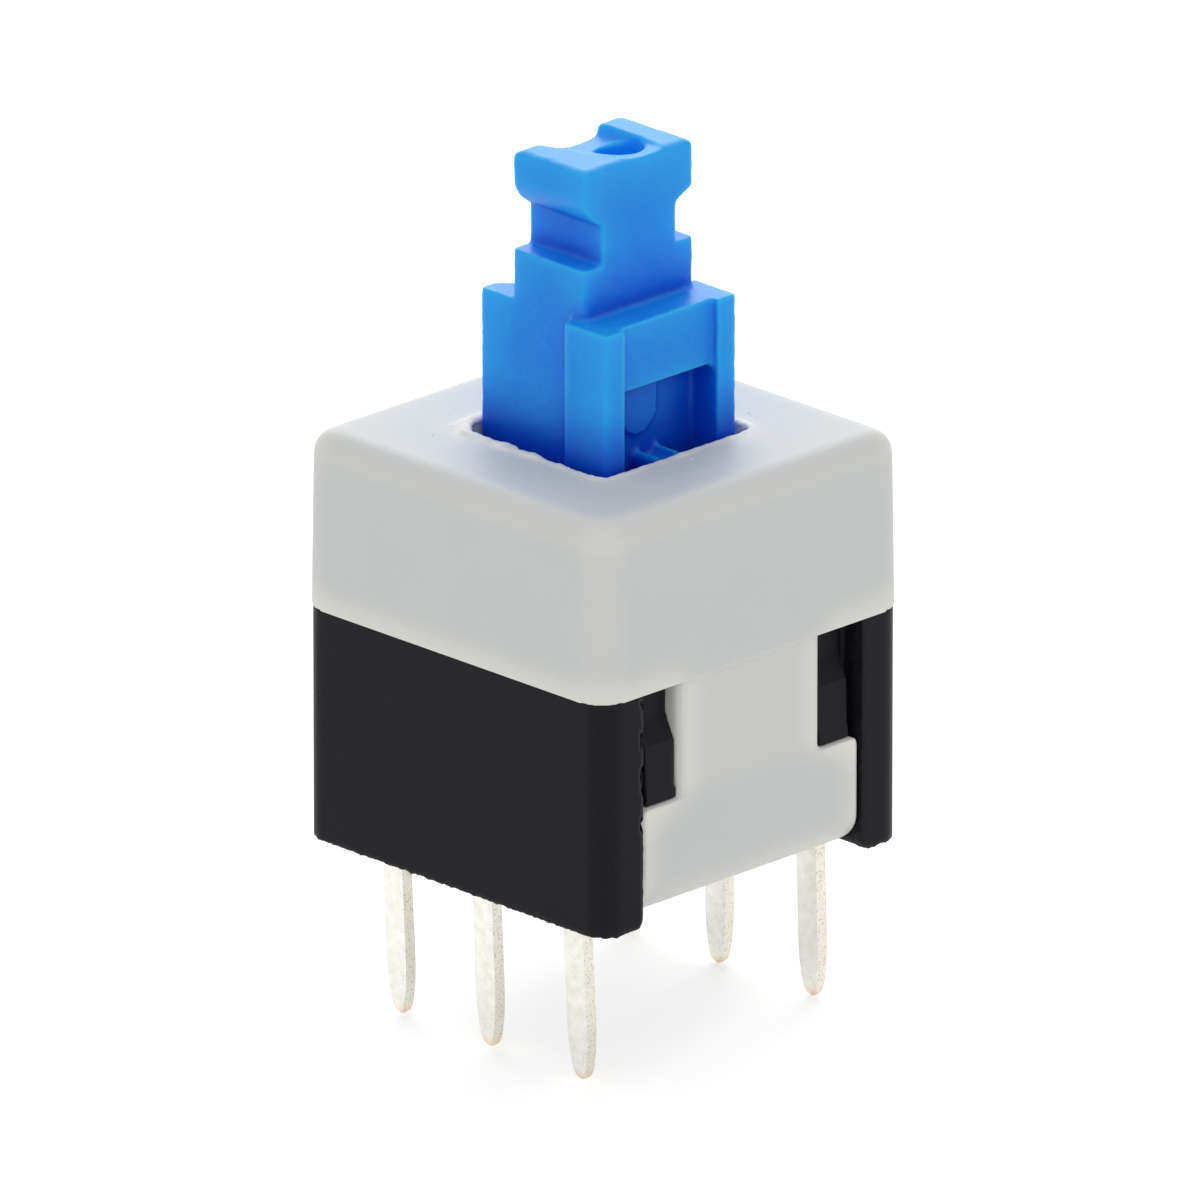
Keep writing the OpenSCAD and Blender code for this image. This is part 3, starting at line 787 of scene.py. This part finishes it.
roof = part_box("cover")[1][2] / MM
flash = grown(
    "hole_flash", creep, Size_X=2 * HOLE_HALF + 0.12, Size_Y=2 * HOLE_HALF + 0.12, Height=roof,
    Plastic=cover_plastic,
)
cover = melted("cover", "cover_moulding", passes=3, share=0.32, wear=wear_cover, growth=flash)
finish_piece(cover, cover_plastic, "cover_plastic", "housing", "cover")
base = melted("base", "base_moulding", passes=2, share=0.36, wear=wear_base)
finish_piece(base, base_plastic, "base_plastic", "housing", "base")
plunger = melted("plunger", "plunger_moulding", passes=5, share=0.4, wear=wear_plunger)
finish_piece(plunger, plunger_plastic, "plunger_plastic", "plunger", "plunger")

# %% [markdown]
# The six terminals are stamped from one sheet by one rule: a pin that bows in to a round tip, a
# blade above it, and an arm to one side. One Geometry Nodes tree stamps them all. A grid two
# points wide is bent to the outline, row by row. First come the rows' heights: crowded in the tip,
# where the outline turns most, even in the shank, and at the arm's corners in the blade.

# %% Terminal tree: rows
TIP_ROWS = 18
SHANK_ROWS = 8
STEP = 0.02

stamp, given = geometry_tree(
    "stamped_terminal",
    [
        ("Width", 0.55), ("Thickness", 0.27), ("Length", 3.55), ("Taper", 1.2),
        ("Tip Radius", 0.14), ("Blade Top", 7.0), ("Arm Reach", 0.6), ("Arm Low", 1.7),
        ("Arm High", 7.0), ("Column", 0.0), ("Row", 3.25), ("Lean Right", 0.0),
        ("Lean Back", 0.0), ("Metal", None),
    ],
)
calc = calculator(stamp)

rows = TIP_ROWS + SHANK_ROWS + 4
grid = placed(
    stamp, "GeometryNodeMeshGrid", Size_X=2.0, Size_Y=float(rows), Vertices_X=2, Vertices_Y=rows + 1
)
flat = point_of(stamp)
side = flat["X"]
row = calc("ADD", flat["Y"], rows / 2)

taper_z = calc("SUBTRACT", given["Taper"], given["Length"])
turn = calc("MULTIPLY", row, math.pi / 2 / TIP_ROWS)
tip_z = calc("SUBTRACT", taper_z, calc("MULTIPLY", given["Taper"], calc("COSINE", turn)))
neck_z = calc("SUBTRACT", given["Arm Low"], STEP)
along = calc("MULTIPLY", calc("SUBTRACT", row, TIP_ROWS), 1 / SHANK_ROWS)
shank_z = calc("ADD", taper_z, calc("MULTIPLY", calc("SUBTRACT", neck_z, taper_z), along))
above = calc("MINIMUM", calc("ADD", given["Arm High"], STEP), given["Blade Top"])
blade_z = stamp.nodes.new("GeometryNodeIndexSwitch")
blade_z.data_type = "FLOAT"
heights = (neck_z, given["Arm Low"], given["Arm High"], above, given["Blade Top"])
while len(blade_z.index_switch_items) < len(heights):
    blade_z.index_switch_items.new()
blade_row = calc("ROUND", calc("SUBTRACT", row, TIP_ROWS + SHANK_ROWS))
stamp.links.new(blade_row, blade_z.inputs["Index"])
for number, height in enumerate(heights):
    stamp.links.new(height, blade_z.inputs[number + 1])


def chosen(test, if_true, if_false):
    """One value where test is 1, another where it is 0."""
    return calc("ADD", if_false, calc("MULTIPLY", test, calc("SUBTRACT", if_true, if_false)))


in_tip = calc("LESS_THAN", row, TIP_ROWS + 0.5)
in_shank = calc("LESS_THAN", row, TIP_ROWS + SHANK_ROWS + 0.5)
z = chosen(in_tip, tip_z, chosen(in_shank, shank_z, blade_z.outputs[0]))
print("a terminal's outline has", rows + 1, "rows of points")

# %% [markdown]
# A pin's half width follows two arcs that meet smoothly: a small one round the tip, and a wide one
# along the bowed side. Between its two heights the arm goes out to one side instead.

# %% Terminal tree: outline
half = calc("MULTIPLY", given["Width"], 0.5)
tip = given["Tip Radius"]
rise = calc("ADD", z, given["Length"])
reach = calc("SUBTRACT", given["Taper"], tip)
slim = calc("SUBTRACT", half, tip)
bow = calc("MULTIPLY", calc("ADD", half, tip), slim)
bow = calc("ADD", bow, calc("MULTIPLY", reach, reach))
bow = calc("DIVIDE", bow, calc("MULTIPLY", slim, 2.0))
touch = calc("DIVIDE", calc("MULTIPLY", tip, reach), calc("SUBTRACT", bow, tip))
touch = calc("SUBTRACT", tip, touch)
round_w = calc("MULTIPLY", rise, calc("SUBTRACT", calc("MULTIPLY", tip, 2.0), rise))
round_w = calc("SQRT", calc("MAXIMUM", round_w, 0.0))
short = calc("SUBTRACT", given["Taper"], calc("MINIMUM", rise, given["Taper"]))
bowed_w = calc("SUBTRACT", calc("MULTIPLY", bow, bow), calc("MULTIPLY", short, short))
bowed_w = calc("SUBTRACT", calc("SQRT", bowed_w), calc("SUBTRACT", bow, half))
width = chosen(calc("LESS_THAN", rise, touch), round_w, bowed_w)

plain_x = calc("MULTIPLY", side, width)
arm_right = calc("MAXIMUM", plain_x, given["Arm Reach"])
arm_left = calc("MINIMUM", plain_x, given["Arm Reach"])
arm_x = chosen(calc("GREATER_THAN", side, 0.0), arm_right, arm_left)
over_low = calc("GREATER_THAN", z, calc("SUBTRACT", given["Arm Low"], STEP / 2))
under_high = calc("LESS_THAN", z, calc("ADD", given["Arm High"], STEP / 2))
outline = placed(
    stamp, "ShaderNodeCombineXYZ", X=chosen(calc("MULTIPLY", over_low, under_high), arm_x, plain_x),
    Y=calc("MULTIPLY", given["Thickness"], -0.5), Z=z,
)
front = placed(
    stamp, "GeometryNodeSetPosition", Geometry=grid.outputs["Mesh"], Position=outline.outputs[0]
)
print("the outline is drawn by", len(stamp.nodes), "nodes")

# %% [markdown]
# The outline gets the sheet's thickness, and its sheared sides are marked, because the punch tears
# them. The pin may lean, from just inside the base down, and its end is worn thinner.

# %% Terminal tree: sheet
CLOSE = 0.0005
LEAN_FROM = 0.3
WORN_END = 0.26
END_LOSS = -0.6

rear = placed(stamp, "GeometryNodeFlipFaces", Mesh=front.outputs[0])
sheet = placed(
    stamp, "GeometryNodeExtrudeMesh", Mesh=rear.outputs[0], Offset=(0, 1, 0),
    Offset_Scale=given["Thickness"], Individual=False,
)
cut = placed(
    stamp, "GeometryNodeStoreNamedAttribute", Geometry=sheet.outputs["Mesh"], Name="sheared",
    Value=sheet.outputs["Side"],
)
cut.domain = "FACE"
both = stamp.nodes.new("GeometryNodeJoinGeometry")
stamp.links.new(front.outputs[0], both.inputs[0])
stamp.links.new(cut.outputs[0], both.inputs[0])
closed = placed(stamp, "GeometryNodeMergeByDistance", Geometry=both.outputs[0], Distance=CLOSE)

now = point_of(stamp)
bent = calc("SUBTRACT", LEAN_FROM, now["Z"])
bent = calc("DIVIDE", bent, calc("ADD", given["Length"], LEAN_FROM))
bent = calc("MAXIMUM", bent, 0.0)
from_end = calc("DIVIDE", calc("ADD", now["Z"], given["Length"]), WORN_END)
from_end = calc("MINIMUM", from_end, 1.0)
worn = calc("MULTIPLY", calc("POWER", calc("SUBTRACT", 1.0, from_end), 2.0), END_LOSS)
back_to = calc("ADD", given["Row"], calc("MULTIPLY", bent, given["Lean Back"]))
shift = placed(
    stamp, "ShaderNodeCombineXYZ",
    X=calc("ADD", given["Column"], calc("MULTIPLY", bent, given["Lean Right"])),
    Y=calc("ADD", calc("MULTIPLY", now["Y"], worn), back_to),
)
standing = placed(
    stamp, "GeometryNodeSetPosition", Geometry=closed.outputs[0], Offset=shift.outputs[0]
)
put_out(stamp, standing.outputs[0], given["Metal"])

# %% [markdown]
# The clips join each row's centre blade to one side blade when the plunger is up and to the other
# when it is down, so the blades of a row differ in height and reach. Pins bend a little when they
# are handled, so each has a lean of its own. A Bevel takes the sharpness off the stamped edges.

# %% Six terminals
BURR = 0.035
STAMPED_EDGE = math.radians(40)
SMOOTH_TURN = math.radians(38)
# column, arm reach, arm low, arm high, blade top
BLADES = {
    "left": (-2.54, 1.54, 4.516, 7.0, 7.0),
    "centre": (0.0, 0.6, 1.7, 7.0, 7.0),
    "right": (2.54, -1.54, 1.7, 3.916, 3.916),
}
LEANS = {
    "front_left": (0.10, 0.10), "front_centre": (0.09, 0.08), "front_right": (0.12, 0.09),
    "rear_left": (0.05, -0.02), "rear_centre": (0.02, 0.0), "rear_right": (0.07, 0.05),
}
for place, (lean_right, lean_back) in LEANS.items():
    column, arm, low, high, top = BLADES[place.split("_")[1]]
    node = "terminal_" + place
    node_low, node_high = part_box(node)
    terminal = grown(
        place + "_pin", stamp, Column=column, Arm_Reach=arm, Arm_Low=low, Arm_High=high,
        Blade_Top=top, Row=(node_low[1] + node_high[1]) / 2 / MM, Lean_Right=lean_right,
        Lean_Back=lean_back, Metal=tinned_brass,
    )
    worn = terminal.modifiers.new("worn_edges", "BEVEL")
    worn.width = BURR
    worn.segments = 2
    worn.limit_method = "ANGLE"
    worn.angle_limit = STAMPED_EDGE
    applied(terminal)
    terminal.data.shade_smooth()
    terminal.data.set_sharp_from_angle(angle=SMOOTH_TURN)
    keep_flats_flat(terminal)
    settled(terminal)
    finish_piece(terminal, tinned_brass, "tinned_brass", "housing", node)

# %% [markdown]
# The return spring follows a helix, so a tree winds it: a spiral curve, its first and last turn
# laid close as spring makers do, swept with a round wire.

# %% Spring tree
TURN_POINTS = 32

wind, given = geometry_tree(
    "coil_spring",
    [
        ("Turns", 9.0), ("Coil Radius", 0.84), ("Wire Radius", 0.11), ("Low", 1.3), ("High", 9.2),
        ("Centre", -0.31), ("Metal", None),
    ],
)
calc = calculator(wind)

spiral = placed(
    wind, "GeometryNodeCurveSpiral", Resolution=TURN_POINTS, Rotations=given["Turns"],
    Start_Radius=given["Coil Radius"], End_Radius=given["Coil Radius"], Height=given["Turns"],
)
now = point_of(wind)
turn = now["Z"]
wire = calc("MULTIPLY", given["Wire Radius"], 2.0)
rest = calc("SUBTRACT", given["High"], given["Low"])
rest = calc("SUBTRACT", rest, calc("MULTIPLY", wire, 2.0))
first = calc("MULTIPLY", calc("MINIMUM", turn, 1.0), wire)
last = calc("SUBTRACT", turn, calc("SUBTRACT", given["Turns"], 1.0))
last = calc("MULTIPLY", calc("MAXIMUM", last, 0.0), wire)
middle = calc("DIVIDE", calc("SUBTRACT", turn, 1.0), calc("SUBTRACT", given["Turns"], 2.0))
middle = calc("MULTIPLY", calc("MINIMUM", calc("MAXIMUM", middle, 0.0), 1.0), rest)
climb = calc("ADD", calc("ADD", first, last), calc("ADD", middle, given["Low"]))
helix = placed(
    wind, "ShaderNodeCombineXYZ", X=calc("ADD", now["X"], given["Centre"]), Y=now["Y"], Z=climb
)
laid = placed(
    wind, "GeometryNodeSetPosition", Geometry=spiral.outputs[0], Position=helix.outputs[0]
)
section = placed(
    wind, "GeometryNodeCurvePrimitiveCircle", Resolution=10, Radius=given["Wire Radius"]
)
swept = placed(
    wind, "GeometryNodeCurveToMesh", Curve=laid.outputs[0], Profile_Curve=section.outputs[0],
    Fill_Caps=True,
)
smooth = placed(wind, "GeometryNodeSetShadeSmooth", Geometry=swept.outputs[0])
put_out(wind, smooth.outputs[0], given["Metal"])

# %% [markdown]
# The spring's sizes come from the box of the CAD's spring. It sits in the base.

# %% Return spring
WIRE_RADIUS = 0.11

spring_low, spring_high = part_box("return_spring")
spring_centre = (spring_low[0] + spring_high[0]) / 2
spring = grown(
    "wound_spring", wind, Low=spring_low[2] / MM + WIRE_RADIUS,
    High=spring_high[2] / MM - WIRE_RADIUS, Wire_Radius=WIRE_RADIUS,
    Coil_Radius=(spring_high[0] - spring_low[0]) / 2 / MM - WIRE_RADIUS,
    Centre=spring_centre / MM, Metal=steel_wire,
)
applied(spring)
finish_piece(spring, steel_wire, "steel_wire", "housing", "return_spring")
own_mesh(spring)

# %% [markdown]
# Crumbs of the same plastic stay on the roof round the hole, where it was trimmed. A tree scatters
# them on a square, leaves out the hole, and half sinks each one.

# %% Crumbs on the roof
strew, given = geometry_tree(
    "trimming_crumbs",
    [
        ("Roof", 5.4), ("Hole", 4.5), ("Height", 8.6), ("Density", 5.0), ("Crumb", 0.026),
        ("Seed", 5), ("Plastic", None),
    ],
)
calc = calculator(strew)

square = placed(
    strew, "GeometryNodeMeshGrid", Size_X=given["Roof"], Size_Y=given["Roof"], Vertices_X=2,
    Vertices_Y=2,
)
spots = placed(
    strew, "GeometryNodeDistributePointsOnFaces", Mesh=square.outputs[0],
    Density=given["Density"], Seed=given["Seed"],
)
now = point_of(strew)
away = calc("MAXIMUM", calc("ABSOLUTE", now["X"]), calc("ABSOLUTE", now["Y"]))
in_hole = calc("LESS_THAN", away, calc("MULTIPLY", given["Hole"], 0.5))
kept = placed(
    strew, "GeometryNodeDeleteGeometry", Geometry=spots.outputs[0], Selection=in_hole
)
on_roof = placed(strew, "ShaderNodeCombineXYZ", X=now["X"], Y=now["Y"], Z=given["Height"])
sunk = placed(
    strew, "GeometryNodeSetPosition", Geometry=kept.outputs[0], Position=on_roof.outputs[0]
)
crumb = placed(strew, "GeometryNodeMeshIcoSphere", Radius=given["Crumb"], Subdivisions=2)
smooth = placed(strew, "GeometryNodeSetShadeSmooth", Geometry=crumb.outputs[0])
chance = placed(strew, "FunctionNodeRandomValue", Seed=given["Seed"])
chance.inputs[2].default_value = 0.25
chance.inputs[3].default_value = 1.0
size = calc("POWER", chance.outputs[1], 2.0)
sizes = placed(strew, "ShaderNodeCombineXYZ", X=size, Y=size, Z=size)
crumbs = placed(
    strew, "GeometryNodeInstanceOnPoints", Points=sunk.outputs[0], Instance=smooth.outputs[0],
    Scale=sizes.outputs[0],
)
put_out(strew, crumbs.outputs[0], given["Plastic"])

crumbs = grown("roof_crumbs", strew, Height=roof, Plastic=cover_plastic)
applied(crumbs)
mark_edges(crumbs)
finish_piece(crumbs, cover_plastic, "cover_plastic", "housing")

# %% [markdown]
# The clips and staple are already the right shape. They keep their CAD mesh and take their metal.

# %% Metal pieces
for name, material in (
    ("contact_front", contact_bronze), ("contact_rear", contact_bronze), ("latch_pin", steel_wire)
):
    for place in nodes[name].material_slots:
        place.material = material
    print(name, "is", material.name)
